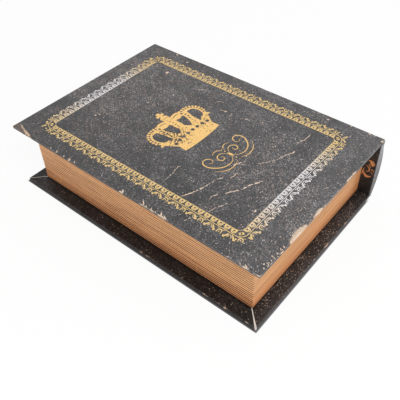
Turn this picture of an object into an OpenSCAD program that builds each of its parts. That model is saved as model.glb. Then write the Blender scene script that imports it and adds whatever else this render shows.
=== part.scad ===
// A box in the form of an old bound book. The tray holds the papers, the rounded spine
// is glued to its back, and the lid opens like the front cover.
// X runs along the spine, the fore-edge faces -Y, and Z is up.
// The origin is the centre of the base cover's underside.

/* [Covers] */
// Length of both covers, along the spine
cover_len = 270; // [200:1:360]
// Depth of both covers, from the fore-edge to the spine
cover_depth = 186; // [140:1:260]
// Height of the closed box
box_h = 66; // [45:1:110]
// Radius of the covers' corners, seen from above
corner_r = 1.5; // [0.8:0.1:4]
// Rounding of the wrapped edges of covers and spine
wrapped_edge_r = 0.8; // [0.6:0.1:1.2]
// Thickness of the board inside the base cover
base_board_t = 2.6; // [2:0.1:5]
// Thickness of the board inside the lid
lid_board_t = 1.9; // [1.8:0.1:5]

/* [Wrap] */
// Thickness of the printed wrap
wrap_t = 0.3; // [0.2:0.05:0.5]
// Width of the wrap's turn-ins on the inner side of a cover
turn_in_w = 16; // [14:0.5:18]
// Width of the seam left where two turn-ins meet at a corner
mitre_seam_w = 0.8; // [0.4:0.1:1.6]
// Length of the wrap's turn-ins on the inner side of the spine
spine_turn_in_l = 15; // [8:0.5:40]

/* [Tray] */
// Overhang of the covers beyond the tray at head and tail
square_ends = 12.5; // [6:0.5:13.5]
// Overhang of the covers beyond the tray at the fore-edge
square_fore = 13; // [6:0.5:13.5]
// Thickness of the tray's walls
wall_t = 6; // [5:0.5:12]
// Thickness of the floor panel between the walls
floor_t = 3; // [2:0.5:8]
// Thickness of the lining on the walls
lining_t = 0.3; // [0.2:0.05:1]
// Thickness of the felt on the floor
felt_t = 1; // [0.4:0.1:3]

/* [Page lines] */
// Distance from one page line to the next
page_pitch = 2.47; // [1.4:0.01:6]
// Width of the groove that makes a page line
groove_w = 0.9; // [0.3:0.1:1.3]
// Depth of that groove
groove_d = 0.5; // [0.2:0.1:1.5]

/* [Spine] */
// Depth of the spine where it stands on the base cover
spine_foot_d = 6; // [4.5:0.5:12]
// Distance that the spine's head is set in, to leave room for the hinge
spine_set_in = 2; // [1.6:0.1:3]
// Rise of the spine's outer arc over its chord
spine_rise = 6.8; // [4:0.2:16]
// Distance that the strip on the spine's head stops short of the covers' edge
ledge_gap = 0.6; // [0.5:0.1:1.5]

/* [Magnets] */
// Diameter of the disc magnets
magnet_d = 4; // [3:0.5:4]
// Thickness of the disc magnets
magnet_t = 1.4; // [0.8:0.1:1.5]
// Distance from the tray's ends to the magnets
magnet_inset = 45; // [15:1:90]
// Play around a magnet in its hole
magnet_play = 0.05; // [0.02:0.01:0.2]

/* [Hidden] */

leather = "#47474b";
leather_inside = "#2b2523";
raw_board = "#b9a98e";
page_tan = "#c08a5e";
felt_black = "#1d1b1c";
lining_dark = "#332b28";
steel = "#b8babd";

// A cut runs this far past the face that it opens
cut = 1;

// Heights, from the table up
base_board_z = wrap_t;
base_board_top = base_board_z + base_board_t;
base_top = base_board_top + wrap_t;
lid_top = box_h;
lid_board_top = lid_top - wrap_t;
lid_board_z = lid_board_top - lid_board_t;
lid_under = lid_board_z - wrap_t;
wall_h = lid_under - base_top;

// Edges of the covers and faces of the tray
end_x = cover_len / 2;
edge_y = cover_depth / 2;
tray_x = end_x - square_ends;
tray_fore_y = -edge_y + square_fore;
tray_back_y = edge_y - spine_foot_d;
tray_len = 2 * tray_x;
tray_depth = tray_back_y - tray_fore_y;
tray_mid_y = (tray_back_y + tray_fore_y) / 2;
hollow_x = tray_x - wall_t;
hollow_fore_y = tray_fore_y + wall_t;
hollow_back_y = tray_back_y - wall_t;
felt_top = base_board_top + floor_t + felt_t;

// The spine's section in the YZ plane is cut from one circle, set by foot, head and rise
spine_head = lid_under - lining_t;
foot_p = [edge_y - wrap_t, base_board_top];
head_p = [foot_p.x - spine_set_in, spine_head];
chord = norm(head_p - foot_p);
outward = [head_p.y - foot_p.y, foot_p.x - head_p.x] / chord;
arc_r = (chord * chord / 4 + spine_rise * spine_rise) / (2 * spine_rise);
arc_c = (foot_p + head_p) / 2 - outward * (arc_r - spine_rise);
// Height at which the wrap leaves the spine and hangs straight from the lid's edge
leave_z = arc_c.y + sqrt(pow(arc_r + wrap_t, 2) - pow(edge_y - wrap_t - arc_c.x, 2));

magnet_x = tray_x - magnet_inset;
// The magnets lie midway between the grooves' bottoms and the wall's inner face
magnet_y = tray_fore_y + (groove_d + wall_t) / 2;

// A flat plate with rounded corners, its underside at z = 0
module plate(l, d, t, r) {
    linear_extrude(t) {
        square([l - 2 * r, d], center = true);
        square([l, d - 2 * r], center = true);
        for (sx = [-1, 1], sy = [-1, 1])
            translate([sx * (l / 2 - r), sy * (d / 2 - r)])
                circle(r = r, $fn = 48);
    }
}

// A box given by its lowest and highest corners
module block(low, high) {
    translate(low)
        cube(high - low);
}

// A bar's section w wide and t high with rounded corners. Its upper right corner, where
// a cover joins the spine, can stay square.
module rounded_section(w, t, r, square_corner) {
    translate([-w / 2 + r, 0])
        square([w - 2 * r, t]);
    translate([-w / 2, r])
        square([w, t - 2 * r]);
    for (sx = [-1, 1], y = [r, t - r])
        translate([sx * (w / 2 - r), y])
            circle(r = r, $fn = 32);
    if (square_corner)
        translate([w / 2 - r, t - r])
            square(r);
}

// A cover's outline pulled in by inset on every side, lying with its outer face down
module cover_form(t, inset) {
    l = cover_len - 2 * inset;
    d = cover_depth - 2 * inset;
    edge_r = wrapped_edge_r - inset;
    intersection() {
        plate(l, d, t, corner_r - inset);
        translate([-l / 2, 0, 0])
            rotate([90, 0, 90])
                linear_extrude(l)
                    rounded_section(d, t, edge_r, true);
        translate([0, d / 2, 0])
            rotate([90, 0, 0])
                linear_extrude(d)
                    rounded_section(l, t, edge_r, false);
    }
}

// The board inside a cover
module cover_board(t) {
    cover_form(t, wrap_t);
}

// The wrap round a cover, lying with its outer face down. The turn-ins cover the board's
// inner side along three edges, stop at back_y, and leave a seam at each mitred corner.
module cover_wrap(board_t, back_y) {
    turn_z = wrap_t + board_t;
    difference() {
        cover_form(turn_z + wrap_t, 0);
        translate([0, 0, wrap_t])
            cover_board(board_t);
        block([-end_x + turn_in_w, -edge_y + turn_in_w, turn_z - cut],
              [end_x - turn_in_w, back_y, turn_z + wrap_t + cut]);
        for (side = [-1, 1])
            translate([side * end_x, -edge_y, turn_z])
                rotate([0, 0, side * 45])
                    translate([-mitre_seam_w / 2, 0, 0])
                        cube([mitre_seam_w, turn_in_w * 2, wrap_t + cut]);
    }
}

module base_board() {
    color(raw_board)
        translate([0, 0, base_board_z])
            cover_board(base_board_t);
}

module base_wrap() {
    color(leather_inside)
        difference() {
            cover_wrap(base_board_t, edge_y - wrap_t);
            // The spine stands here on the bare board
            block([-end_x - cut, tray_back_y, base_board_top],
                  [end_x + cut, edge_y + cut, base_top + cut]);
        }
}

module tray_floor() {
    color(page_tan)
        block([-hollow_x, hollow_fore_y, base_board_top],
              [hollow_x, hollow_back_y, base_board_top + floor_t]);
}

// Outline of a grooved wall in its own YZ plane, outer face at y = 0. The grooves start one
// pitch above the base cover and run up while a whole one still fits.
function wall_section(h) = concat(
    [[0, 0]],
    [for (z = [page_pitch : page_pitch : h - groove_w], corner = [-1, 0, 1])
        [corner == 0 ? groove_d : 0, z + corner * groove_w / 2]],
    [[0, h], [wall_t, h], [wall_t, 0]]);

// A wall with mitred ends, standing on z = 0 with its outer face at y = 0, facing -Y
module mitred_wall(span, section) {
    top = max([for (p = section) p.y]);
    intersection() {
        translate([-span / 2, 0, 0])
            rotate([90, 0, 90])
                linear_extrude(span)
                    polygon(section);
        linear_extrude(top)
            polygon([[-span / 2, 0], [span / 2, 0],
                     [span / 2 - wall_t, wall_t], [-span / 2 + wall_t, wall_t]]);
    }
}

module page_wall(span) {
    color(page_tan)
        mitred_wall(span, wall_section(wall_h));
}

// The hole round a magnet, from one height to another
module magnet_hole(side, low, high) {
    translate([side * magnet_x, magnet_y, low])
        cylinder(d = magnet_d + 2 * magnet_play, h = high - low, $fn = 48);
}

module fore_edge_wall() {
    color(page_tan)
        difference() {
            translate([0, tray_fore_y, base_top])
                page_wall(tray_len);
            for (side = [-1, 1])
                magnet_hole(side, lid_under - magnet_t, lid_under + cut);
        }
}

module tail_wall() {
    translate([tray_x, tray_mid_y, base_top])
        rotate([0, 0, 90])
            page_wall(tray_depth);
}

module head_wall() {
    translate([-tray_x, tray_mid_y, base_top])
        rotate([0, 0, -90])
            page_wall(tray_depth);
}

module spine_side_wall() {
    h = spine_head - base_top;
    color(page_tan)
        translate([0, tray_back_y, base_top])
            rotate([0, 0, 180])
                mitred_wall(tray_len, [[0, 0], [0, h], [wall_t, h], [wall_t, 0]]);
}

// The spine's section drawn in by inset, from inner_y out to the arc, between two heights.
// The arc's edges are rounded at both ends of the spine.
module spine_form(inset, inner_y, z_low, z_high) {
    r = arc_r + wrap_t - inset;
    l = cover_len - 2 * inset;
    edge_r = wrapped_edge_r - inset;
    intersection() {
        translate([-l / 2, arc_c.x, arc_c.y])
            rotate([0, 90, 0])
                rotate_extrude($fn = 240) {
                    square([r - edge_r, l]);
                    translate([0, edge_r])
                        square([r, l - 2 * edge_r]);
                    for (z = [edge_r, l - edge_r])
                        translate([r - edge_r, z])
                            circle(r = edge_r, $fn = 32);
                }
        block([-l, inner_y, z_low], [l, arc_c.x + r + cut, z_high]);
    }
}

module spine_core() {
    color(raw_board)
        spine_form(wrap_t, tray_back_y + wrap_t, base_board_top, spine_head);
}

// The wrap over the arc, both ends, and a strip of the inner face next to each end
module spine_wrap() {
    cap_x = end_x - wrap_t;
    inner_x = end_x - spine_turn_in_l;
    color(leather)
        difference() {
            spine_form(0, tray_back_y, base_board_top, spine_head);
            spine_form(wrap_t, tray_back_y + wrap_t, base_board_top - cut, spine_head + cut);
            block([-inner_x, tray_back_y - cut, base_board_top - cut],
                  [inner_x, tray_back_y + 2 * wrap_t, spine_head + cut]);
            // Above this height the wrap hangs free as the hinge
            block([-cap_x, tray_back_y + 2 * wrap_t, leave_z],
                  [cap_x, edge_y + spine_rise, spine_head + cut]);
        }
}

// The wrap's free strip between the spine and the lid. The lid turns about a line level with
// the lid's underside and as far outside the covers' edge as the wrap is thick.
module hinge_cloth() {
    color(leather)
        difference() {
            block([-end_x, edge_y - wrap_t, leave_z - spine_rise],
                  [end_x, edge_y, lid_under]);
            translate([-end_x - cut, arc_c.x, arc_c.y])
                rotate([0, 90, 0])
                    cylinder(r = arc_r + wrap_t, h = cover_len + 2 * cut, $fn = 240);
        }
}

// The lining over the heads of the spine and the spine-side wall, cut to their mitres
module ledge_strip() {
    front_y = hollow_back_y - lining_t;
    color(lining_dark)
        translate([0, 0, spine_head])
            linear_extrude(lining_t)
                polygon([[-hollow_x, front_y], [hollow_x, front_y], [hollow_x, hollow_back_y],
                         [tray_x, tray_back_y], [end_x, tray_back_y],
                         [end_x, edge_y - ledge_gap], [-end_x, edge_y - ledge_gap],
                         [-end_x, tray_back_y], [-tray_x, tray_back_y],
                         [-hollow_x, hollow_back_y]]);
}

module floor_lining() {
    color(felt_black)
        block([-hollow_x, hollow_fore_y, base_board_top + floor_t],
              [hollow_x, hollow_back_y, felt_top]);
}

module fore_edge_lining() {
    color(lining_dark)
        block([-hollow_x, hollow_fore_y, felt_top],
              [hollow_x, hollow_fore_y + lining_t, lid_under]);
}

module spine_side_lining() {
    color(lining_dark)
        block([-hollow_x, hollow_back_y - lining_t, felt_top],
              [hollow_x, hollow_back_y, spine_head]);
}

// The linings of head and tail run between the two long ones
module end_lining() {
    color(lining_dark)
        block([hollow_x - lining_t, hollow_fore_y + lining_t, felt_top],
              [hollow_x, hollow_back_y - lining_t, lid_under]);
}

module tail_lining() {
    end_lining();
}

module head_lining() {
    mirror([1, 0, 0])
        end_lining();
}

module magnet(side, low) {
    color(steel)
        translate([side * magnet_x, magnet_y, low])
            cylinder(d = magnet_d, h = magnet_t, $fn = 48);
}

module tray_magnet_head() {
    magnet(-1, lid_under - magnet_t);
}

module tray_magnet_tail() {
    magnet(1, lid_under - magnet_t);
}

module lid_board() {
    color(raw_board)
        difference() {
            translate([0, 0, lid_board_top])
                mirror([0, 0, 1])
                    cover_board(lid_board_t);
            for (side = [-1, 1])
                magnet_hole(side, lid_board_z - cut, lid_board_z + magnet_t);
        }
}

// The lid's wrap is the base's turned over. It has no turn-in along the spine.
module lid_wrap() {
    color(leather)
        translate([0, 0, lid_top])
            mirror([0, 0, 1])
                cover_wrap(lid_board_t, edge_y - wrap_t);
}

module lid_lining() {
    color(lining_dark)
        block([-end_x + turn_in_w, -edge_y + turn_in_w, lid_under],
              [end_x - turn_in_w, edge_y - wrap_t, lid_board_z]);
}

module lid_magnet_head() {
    magnet(-1, lid_board_z);
}

module lid_magnet_tail() {
    magnet(1, lid_board_z);
}

base_board();
base_wrap();
tray_floor();
fore_edge_wall();
spine_side_wall();
head_wall();
tail_wall();
spine_core();
spine_wrap();
hinge_cloth();
ledge_strip();
floor_lining();
fore_edge_lining();
spine_side_lining();
head_lining();
tail_lining();
tray_magnet_head();
tray_magnet_tail();
lid_board();
lid_wrap();
lid_lining();
lid_magnet_head();
lid_magnet_tail();
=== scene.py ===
# %% [markdown]
# # A book box with a gold-printed lid
# A box for papers that looks like an old bound book: boards wrapped in an embossed,
# printed cloth, a wooden tray scored like the edges of pages, and a cloth over the
# spine that is also the hinge of the lid. The solids come from CAD, in metres, and
# stay where they are. Blender adds what a solid can't hold: the grain and wear of the
# wrap, the foil print, the felt, and the cloth that bends.

# %% Load the frame
import math

import bmesh
import bpy
from mathutils import Matrix, Vector, noise


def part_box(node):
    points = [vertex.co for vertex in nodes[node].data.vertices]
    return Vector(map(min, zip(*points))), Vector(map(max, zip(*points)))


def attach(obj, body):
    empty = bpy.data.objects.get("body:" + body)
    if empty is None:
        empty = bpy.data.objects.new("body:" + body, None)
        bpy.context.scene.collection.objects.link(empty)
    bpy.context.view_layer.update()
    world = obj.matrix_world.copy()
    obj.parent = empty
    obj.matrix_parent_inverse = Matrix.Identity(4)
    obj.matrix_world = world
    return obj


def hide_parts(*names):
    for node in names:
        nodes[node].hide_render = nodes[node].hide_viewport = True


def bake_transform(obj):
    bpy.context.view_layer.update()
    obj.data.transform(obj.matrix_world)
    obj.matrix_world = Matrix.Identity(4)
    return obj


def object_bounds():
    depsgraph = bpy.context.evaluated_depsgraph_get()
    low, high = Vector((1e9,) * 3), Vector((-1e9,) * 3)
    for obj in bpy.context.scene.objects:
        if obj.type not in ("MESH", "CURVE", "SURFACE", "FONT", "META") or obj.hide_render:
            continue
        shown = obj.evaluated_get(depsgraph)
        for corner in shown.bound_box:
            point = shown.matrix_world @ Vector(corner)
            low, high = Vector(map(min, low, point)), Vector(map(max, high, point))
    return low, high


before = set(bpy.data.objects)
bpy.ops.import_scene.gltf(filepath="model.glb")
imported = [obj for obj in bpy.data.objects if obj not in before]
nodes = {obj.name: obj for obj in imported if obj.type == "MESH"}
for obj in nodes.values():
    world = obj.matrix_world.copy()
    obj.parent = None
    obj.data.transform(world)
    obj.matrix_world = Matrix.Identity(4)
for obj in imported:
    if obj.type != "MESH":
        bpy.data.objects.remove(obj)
cad_low, cad_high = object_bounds()
MM = 0.001
size = (cad_high - cad_low) / MM
print(f"{len(nodes)} pieces, {size.x:.1f} x {size.y:.1f} x {size.z:.1f} mm")

# %% [markdown]
# The places that later cells need are read from the solids, so that foil lies on the
# lid whatever the box measures. Only the circle that the spine is cut from has to be
# repeated from the drawing: its centre and its radius.


# %% Places on the box, in millimetres
def box_of(name):
    """A solid's lowest and highest corner."""
    return [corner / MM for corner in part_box(name)]


lid_top = box_of("lid_wrap")[1].z
cover_x, cover_y = box_of("lid_wrap")[1].xy
base_top = box_of("base_wrap")[1].z
spine_inner_y = box_of("spine_wrap")[0].y
tray_x = box_of("tail_wall")[1].x
tray_y = box_of("fore_edge_wall")[0].y
SPINE_Y, SPINE_Z, SPINE_R = 28.222, 30.945, 70.61
PAGE_PITCH = 2.47
print(f"lid top {lid_top:.1f}, cover half {cover_x:.1f} x {cover_y:.1f}")

# %% [markdown]
# The camera stands where the photographer stood: its place was solved together with
# the box's corners and edges in the photograph. The lens shift says that the picture
# was cropped a little off its centre.

# %% Stand the camera
CAMERA_PLACE = (0.254143, -0.286460, 0.362336)
AZIMUTH, ELEVATION, ROLL = map(math.radians, (39.739, 43.478, -1.127))
SENSOR_WIDTH, LENS, LENS_SHIFT = 36, 49.616, (-0.02495, -0.03118)


def new_object(name, data):
    made = bpy.data.objects.new(name, data)
    bpy.context.scene.collection.objects.link(made)
    return made


def stand_camera():
    data = bpy.data.cameras.new("Camera")
    data.sensor_width, data.lens = SENSOR_WIDTH, LENS
    data.shift_x, data.shift_y = LENS_SHIFT
    camera = new_object("Camera", data)
    camera.matrix_world = Matrix.Translation(CAMERA_PLACE)
    for angle, axis in ((AZIMUTH, "Z"), (math.pi / 2 - ELEVATION, "X"), (ROLL, "Z")):
        camera.matrix_world @= Matrix.Rotation(angle, 4, axis)
    bpy.context.scene.camera = camera
    return camera


camera = stand_camera()
print(f"camera {camera.location.length:.3f} m from the box's middle")

# %% [markdown]
# Every finish and every Geometry Nodes tree below is a handful of nodes joined up. A
# wiring adds a node and sets or joins its inputs. What it gives back is a value, and
# values can be added and multiplied like numbers, which makes the nodes for it. A
# finish is the wiring of one material: it knows the place on the box in millimetres,
# and each colour is painted over the last.


# %% Helpers for joining nodes
def operator(name, swapped=False):
    def made(a, b):
        return a.wiring.math(name, *((b, a) if swapped else (a, b)))

    return made


class Value:
    """What a socket gives. A sum or a product of values is a new node's value."""

    def __init__(self, wiring, socket):
        self.wiring, self.socket = wiring, socket

    def __abs__(self):
        return self.wiring.math("ABSOLUTE", self)

    __add__ = __radd__ = operator("ADD")
    __mul__ = __rmul__ = operator("MULTIPLY")
    __sub__, __rsub__ = operator("SUBTRACT"), operator("SUBTRACT", swapped=True)
    __truediv__ = operator("DIVIDE")


class Wiring:
    def __init__(self, tree):
        self.tree = tree

    def join(self, node, inputs):
        for name, value in inputs.items():
            if isinstance(value, Value):
                self.tree.links.new(value.socket, node.inputs[name])
            else:
                node.inputs[name].default_value = value

    def node(self, kind, inputs=None, **settings):
        node = self.tree.nodes.new(kind)
        for name, value in settings.items():
            setattr(node, name, value)
        self.join(node, inputs or {})
        return node

    def add(self, kind, inputs=None, output=0, **settings):
        """The value of one output of a new node, or a list of values for a tuple of outputs."""
        outputs = self.node(kind, inputs, **settings).outputs
        if isinstance(output, tuple):
            return [Value(self, outputs[name]) for name in output]
        return Value(self, outputs[output])

    def math(self, operation, *values, **settings):
        return self.add("ShaderNodeMath", dict(enumerate(values)), operation=operation, **settings)

    def vector(self, operation, *values, output=0):
        return self.add("ShaderNodeVectorMath", dict(enumerate(values)), output, operation=operation)

    def split(self, vector):
        return self.add("ShaderNodeSeparateXYZ", {0: vector}, (0, 1, 2))

    def largest(self, first, *others):
        for other in others:
            first = self.math("MAXIMUM", first, other)
        return first

    def step(self, value, low, high):
        """0 below low and 1 above high, smooth between; low may be above high."""
        ends = {"Value": value, "From Min": low, "From Max": high}
        return self.add("ShaderNodeMapRange", ends, interpolation_type="SMOOTHSTEP")

    def tint(self, factor, a, b):
        return self.add("ShaderNodeMix", {0: factor, 6: a, 7: b}, 2, data_type="RGBA")


class Finish(Wiring):
    def __init__(self, name, ground):
        self.material = bpy.data.materials.new(name)
        self.material.use_nodes = True
        super().__init__(self.material.node_tree)
        metres = self.add("ShaderNodeTexCoord", output="Object")
        self.place = self.vector("MULTIPLY", metres, (1 / MM, 1 / MM, 1 / MM))
        self.x, self.y, self.z = self.split(self.place)
        self.colour = ground

    def paint(self, share, colour):
        self.colour = self.tint(share, self.colour, colour)

    def stretched(self, *factors):
        """The place with each direction drawn out or pressed together."""
        return self.vector("MULTIPLY", self.place, factors)

    def noise(self, scale, detail, rough, place=None, output="Fac"):
        inputs = {"Vector": place or self.place, "Scale": scale, "Detail": detail, "Roughness": rough}
        return self.add("ShaderNodeTexNoise", inputs, output)

    def cells(self, place, scale):
        """A mesh of cells: how far from a cell's middle, and a colour for each cell."""
        return self.add("ShaderNodeTexVoronoi", {"Vector": place, "Scale": scale}, ("Distance", "Color"))

    def patch(self, centre, radius):
        """1 at a spot on the box as seen from above, fading to 0 round it."""
        away = self.vector("DISTANCE", self.stretched(1, 1, 0), (*centre, 0), output="Value")
        return self.step(away, radius, radius * 0.35)

    def close(self, roughness, bump=None, others=None):
        """Join up the shader. A bump is a height, a strength and a depth in millimetres."""
        inputs = {"Base Color": self.colour, "Roughness": roughness, **(others or {})}
        if bump:
            height, strength, depth = bump
            raised = {"Height": height, "Strength": strength, "Distance": depth * MM}
            inputs["Normal"] = self.add("ShaderNodeBump", raised)
        self.join(self.tree.nodes["Principled BSDF"], inputs)
        return self.material


def linear(red, green, blue):
    """A colour picked on screen, 0 to 255, as the linear light that shaders expect."""
    parts = [c / 255 for c in (red, green, blue)]
    return (*[c / 12.92 if c <= 0.04045 else ((c + 0.055) / 1.055) ** 2.4 for c in parts], 1)


def shade(colour, factor):
    return (*[c * factor for c in colour[:3]], 1)


def dress(material, *names):
    for name in names:
        for slot in nodes[name].material_slots:
            slot.material = material


print("helpers ready")

# %% [markdown]
# The studio is a white sweep under soft light. The world is full white to the camera
# and in reflections, and weaker as a light, so that colours render about as written.
# One large lamp makes the tail wall brighter than the fore-edge wall, as in the
# photograph. The floor looks white, except in a thin painted contact shadow: a dark
# line where the box touches it, grey along the tail side.

# %% White studio
WHITE = (1, 1, 1, 1)
FLOOR_WHITE = (0.9, 0.9, 0.9, 1)
# colours of the painted contact shadow: dark, and grey along the tail side
CONTACT_SHADOW_DARK, CONTACT_SHADOW_GREY = (0.13, 0.125, 0.13, 1), (0.21, 0.205, 0.21, 1)
FLOOR_Z = -0.0003


def light_world(fill):
    world = bpy.data.worlds.new("Studio")
    bpy.context.scene.world = world
    world.use_nodes = True
    w = Wiring(world.node_tree)
    rays = ("Is Camera Ray", "Is Glossy Ray", "Is Transmission Ray")
    seen = w.largest(*w.add("ShaderNodeLightPath", output=rays))
    w.join(w.tree.nodes["Background"], {"Color": WHITE, "Strength": seen * (1 - fill) + fill})


def hang_lamp(name, place, watts, width):
    data = bpy.data.lights.new(name, "AREA")
    data.energy, data.size = watts, width
    lamp = new_object(name, data)
    lamp.location = place
    lamp.rotation_euler = (-Vector(place)).to_track_quat("-Z", "Y").to_euler()


def floor_finish(glow):
    w = Finish("White floor", CONTACT_SHADOW_DARK)
    # a painted contact shadow: dark within 1 to 1.5 mm of the covers' outline, grey along the tail side, none
    # on the spine side, and kept free of the white glow
    away = w.largest(abs(w.x) - cover_x, abs(w.y) - cover_y)
    clear = w.largest(w.step(away, 1.0, 1.5), w.step(w.y, 80, 90))
    w.paint(w.step(w.x, 134, 136), CONTACT_SHADOW_GREY)
    w.paint(clear, FLOOR_WHITE)
    matt = w.add("ShaderNodeBsdfDiffuse", {"Color": w.colour})
    white = w.add("ShaderNodeEmission", {"Color": WHITE, "Strength": 1.0})
    share = w.add("ShaderNodeLightPath", output="Is Camera Ray") * clear * glow
    mixed = w.add("ShaderNodeMixShader", {0: share, 1: matt, 2: white})
    w.join(w.tree.nodes["Material Output"], {"Surface": mixed})
    return w.material


def lay_floor(half, glow):
    mesh = bpy.data.meshes.new("Floor")
    corners = [(x * half, y * half, FLOOR_Z) for x, y in ((-1, -1), (1, -1), (1, 1), (-1, 1))]
    mesh.from_pydata(corners, [], [(0, 1, 2, 3)])
    mesh.materials.append(floor_finish(glow))
    floor = new_object("Floor", mesh)


bpy.context.scene.view_settings.view_transform = "Standard"
light_world(fill=0.75)
hang_lamp("Key", place=(1.05, -0.3, 0.95), watts=11.0, width=0.8)
lay_floor(half=3.0, glow=0.9)
print("one lamp, one floor")

# %% [markdown]
# Old cloth is worn first along its edges. How deep the wear reaches in is written as a
# ramp: a list of places along the edge and the depth there, in millimetres. A point is
# worn where its distance from the edge is less than that, and noise makes the border
# ragged. Further in, to about twice that depth, the cloth is only flecked.

# %% Wear along an edge
DEEPEST, HALF_SPAN = 5.0, 140.0


def ragged_edge(w, along, inward, ragged, stops):
    ramp = w.node("ShaderNodeValToRGB", {"Fac": along * (0.5 / HALF_SPAN) + 0.5})
    elements = ramp.color_ramp.elements
    while len(elements) < len(stops):
        elements.new(0.5)
    for element, (where, depth) in zip(elements, sorted(stops)):
        element.position = where / HALF_SPAN / 2 + 0.5
        element.color = (*[depth / DEEPEST] * 3, 1)
    depth = Value(w, ramp.outputs["Color"]) * DEEPEST
    torn = w.step(inward - depth * ragged, -0.15, -0.5)
    near = w.step(inward - depth * 2.2, 0.8, -1.2)
    return torn, near


LID_TAIL_WEAR = [
    (-94, 1.0), (-88, 0.2), (-79, 0.25), (-69, 0.3), (-66, 1.4), (-63, 0.3), (-57, 0.2), (-54, 2.0),
    (-50, 3.1), (-46, 3.9), (-41, 3.6), (-36, 2.5), (-32, 0.2), (-26, 0.2), (-23.5, 1.0), (-20, 1.6),
    (-16, 2.4), (-13, 1.9), (-10.5, 0.4), (-8, 1.1), (-5, 0.4), (8, 0.4), (13, 0.8), (17, 0.1),
    (24, 0.3), (28, 1.2), (34, 0.9), (38, 1.4), (42, 0.2), (84, 0), (88.5, 0.8), (93, 0.7),
]
LID_FORE_WEAR = [
    (-135, 0), (-84, 0), (-82, 0.6), (-78, 0.1), (-75, 0.8), (-71, 0), (-66, 0.6), (-62, 0),
    (-59, 1.2), (-55, 0.2), (-52, 0.6), (-48, 0), (-25, 0.2), (-12, 0.4), (-6, 0), (0, 0.3),
    (3, 1.8), (6, 0.4), (20, 0.3), (26, 1.0), (33, 0.6), (36, 1.2), (40, 0.3), (44, 1.6),
    (49, 1.2), (53, 0), (98, 0), (106, 0.5), (118, 0.4), (123, 1.2), (128, 0.2), (135, 1.1),
]
BASE_TAIL_WEAR = [
    (-94, 0.3), (-89, 0.4), (-84, 0), (-1, 0), (2, 0.6), (6, 0.2), (9, 1.2), (13, 0.9),
    (16, 0), (38, 0), (42, 1.1), (47, 0.4), (50, 0.1), (52, 0.6), (55, 0), (84, 0), (88, 0.6), (93, 0.9),
]
BASE_FORE_WEAR = [
    (-135, 0.6), (-130, 0), (13, 0), (16, 1.1), (19, 0.2), (23, 0.9), (27, 0.1), (30, 0),
    (81, 0), (83, 0.5), (85, 1.3), (86.5, 0.3), (88, 1.0), (89.5, 0), (103, 0), (105.5, 1.6),
    (108, 0), (123, 0), (126, 1.1), (129, 0.1), (135, 0.3),
]
print(len(LID_TAIL_WEAR) + len(LID_FORE_WEAR), "places of wear on the lid's two near edges")

# %% [markdown]
# The wrap is embossed with a fine leather grain and printed to look rubbed. The grain
# is a mesh of cells under a millimetre across, each with its own grey, so that it
# glitters. Specks from brown to cream are single cells too, and gather in the crowded
# places and where a slow noise says so. Each wrap then takes marks of its own: the lid
# a brown cast, darker patches and a torn corner, the base a painted contact shadow
# beside the tray, painted shade under the lid and a bare seam, the spine painted shade
# that makes its inner side nearly black, and a painted reflection on its two ends.

# %% Embossed wrap
# cells in a millimetre
GRAIN, SPECKS = 1.4, 1.15
# noises: waves in a millimetre, detail and roughness
CREASES, FRAYED, CLOUDS, CROWDING = (1.5, 3, 0.6), (0.9, 6, 0.88), (0.05, 5, 0.7), (0.055, 4, 0.65)
# a worn edge's noise is pressed together along the edge and drawn out across it
ALONG_EDGE, ACROSS_EDGE = 1.4, 0.35
BLACK = (0, 0, 0, 1)
CAST, TORN_BROWN, TORN_RIM = linear(176, 150, 132), linear(96, 82, 74), linear(210, 178, 150)
PALE_MARGIN, GREY_MARGIN = linear(160, 158, 160), (0.11, 0.108, 0.108, 1)
# the rims' colour is wear together with a painted sheen, and the last is a painted reflection
BARE_SEAM, RIM_WEAR_AND_SHEEN, SPINE_END_REFLECTION = linear(196, 186, 180), linear(150, 148, 150), linear(196, 198, 206)


def edge_wear(w, wear, face_z):
    """Where the cloth is torn off along its tail and fore-edge, and where it is flecked."""
    found = []
    tail = (w.y, cover_x - w.x, (ACROSS_EDGE, ALONG_EDGE, ACROSS_EDGE))
    fore = (w.x, w.y + cover_y, (ALONG_EDGE, ACROSS_EDGE, ACROSS_EDGE))
    for stops, (along, reach, factors) in zip(wear, (tail, fore)):
        ragged = w.noise(*FRAYED, w.stretched(*factors)) * 3.6 - 0.8
        inward = w.largest(reach, abs(w.z - face_z))
        found.append(ragged_edge(w, along, inward, ragged, stops))
    return [w.largest(*both) for both in zip(*found)]


def torn_corner(w):
    """The corner beside head and fore-edge: browned outside a pale torn line."""
    corner = w.step(w.x, -100, -108)
    bite = w.noise(0.34, 5, 0.7) * 7.0 - w.x * 0.316 - w.y * 0.949 - 127.0
    w.paint(w.step(bite, -0.3, 0.6) * corner * 0.8, TORN_BROWN)
    width = w.noise(0.9, 3, 0.6) * 2.6 + 0.1 - w.step(w.y, -93, -84) * 1.5
    width = w.largest(width, 0.02)
    w.paint(w.step(abs(bite), width, width * 0.4) * corner, TORN_RIM)


def lid_marks(w, level):
    """A brown cast over the head half, darker towards the fore-edge, over the head, by the spine and round
    the coronet, a paler strip towards the tail, and the torn corner.
    """
    cast = w.step(w.noise(0.09, 6, 0.8), 0.5, 0.68) * w.step(w.x, 10, -60)
    w.paint(cast * (level * 0.5 + 0.06), CAST)
    fore = w.step(w.y, -12, -76) * (w.step(w.x, 118, 20) * 0.26 + 0.08)
    head = w.step(w.y, 2, -50) * w.step(w.x, 10, -20) * 0.25
    spine = w.step(w.y, 68, 84) * w.step(w.x, -10, -60) * 0.12
    under_coronet = w.patch((-17, -1), 40) * 0.28
    w.paint(w.largest(fore, head, spine, under_coronet), (0, 0, 0.001, 1))
    w.paint(w.step(w.x, 106, 118) * 0.05, PALE_MARGIN)
    torn_corner(w)


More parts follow.
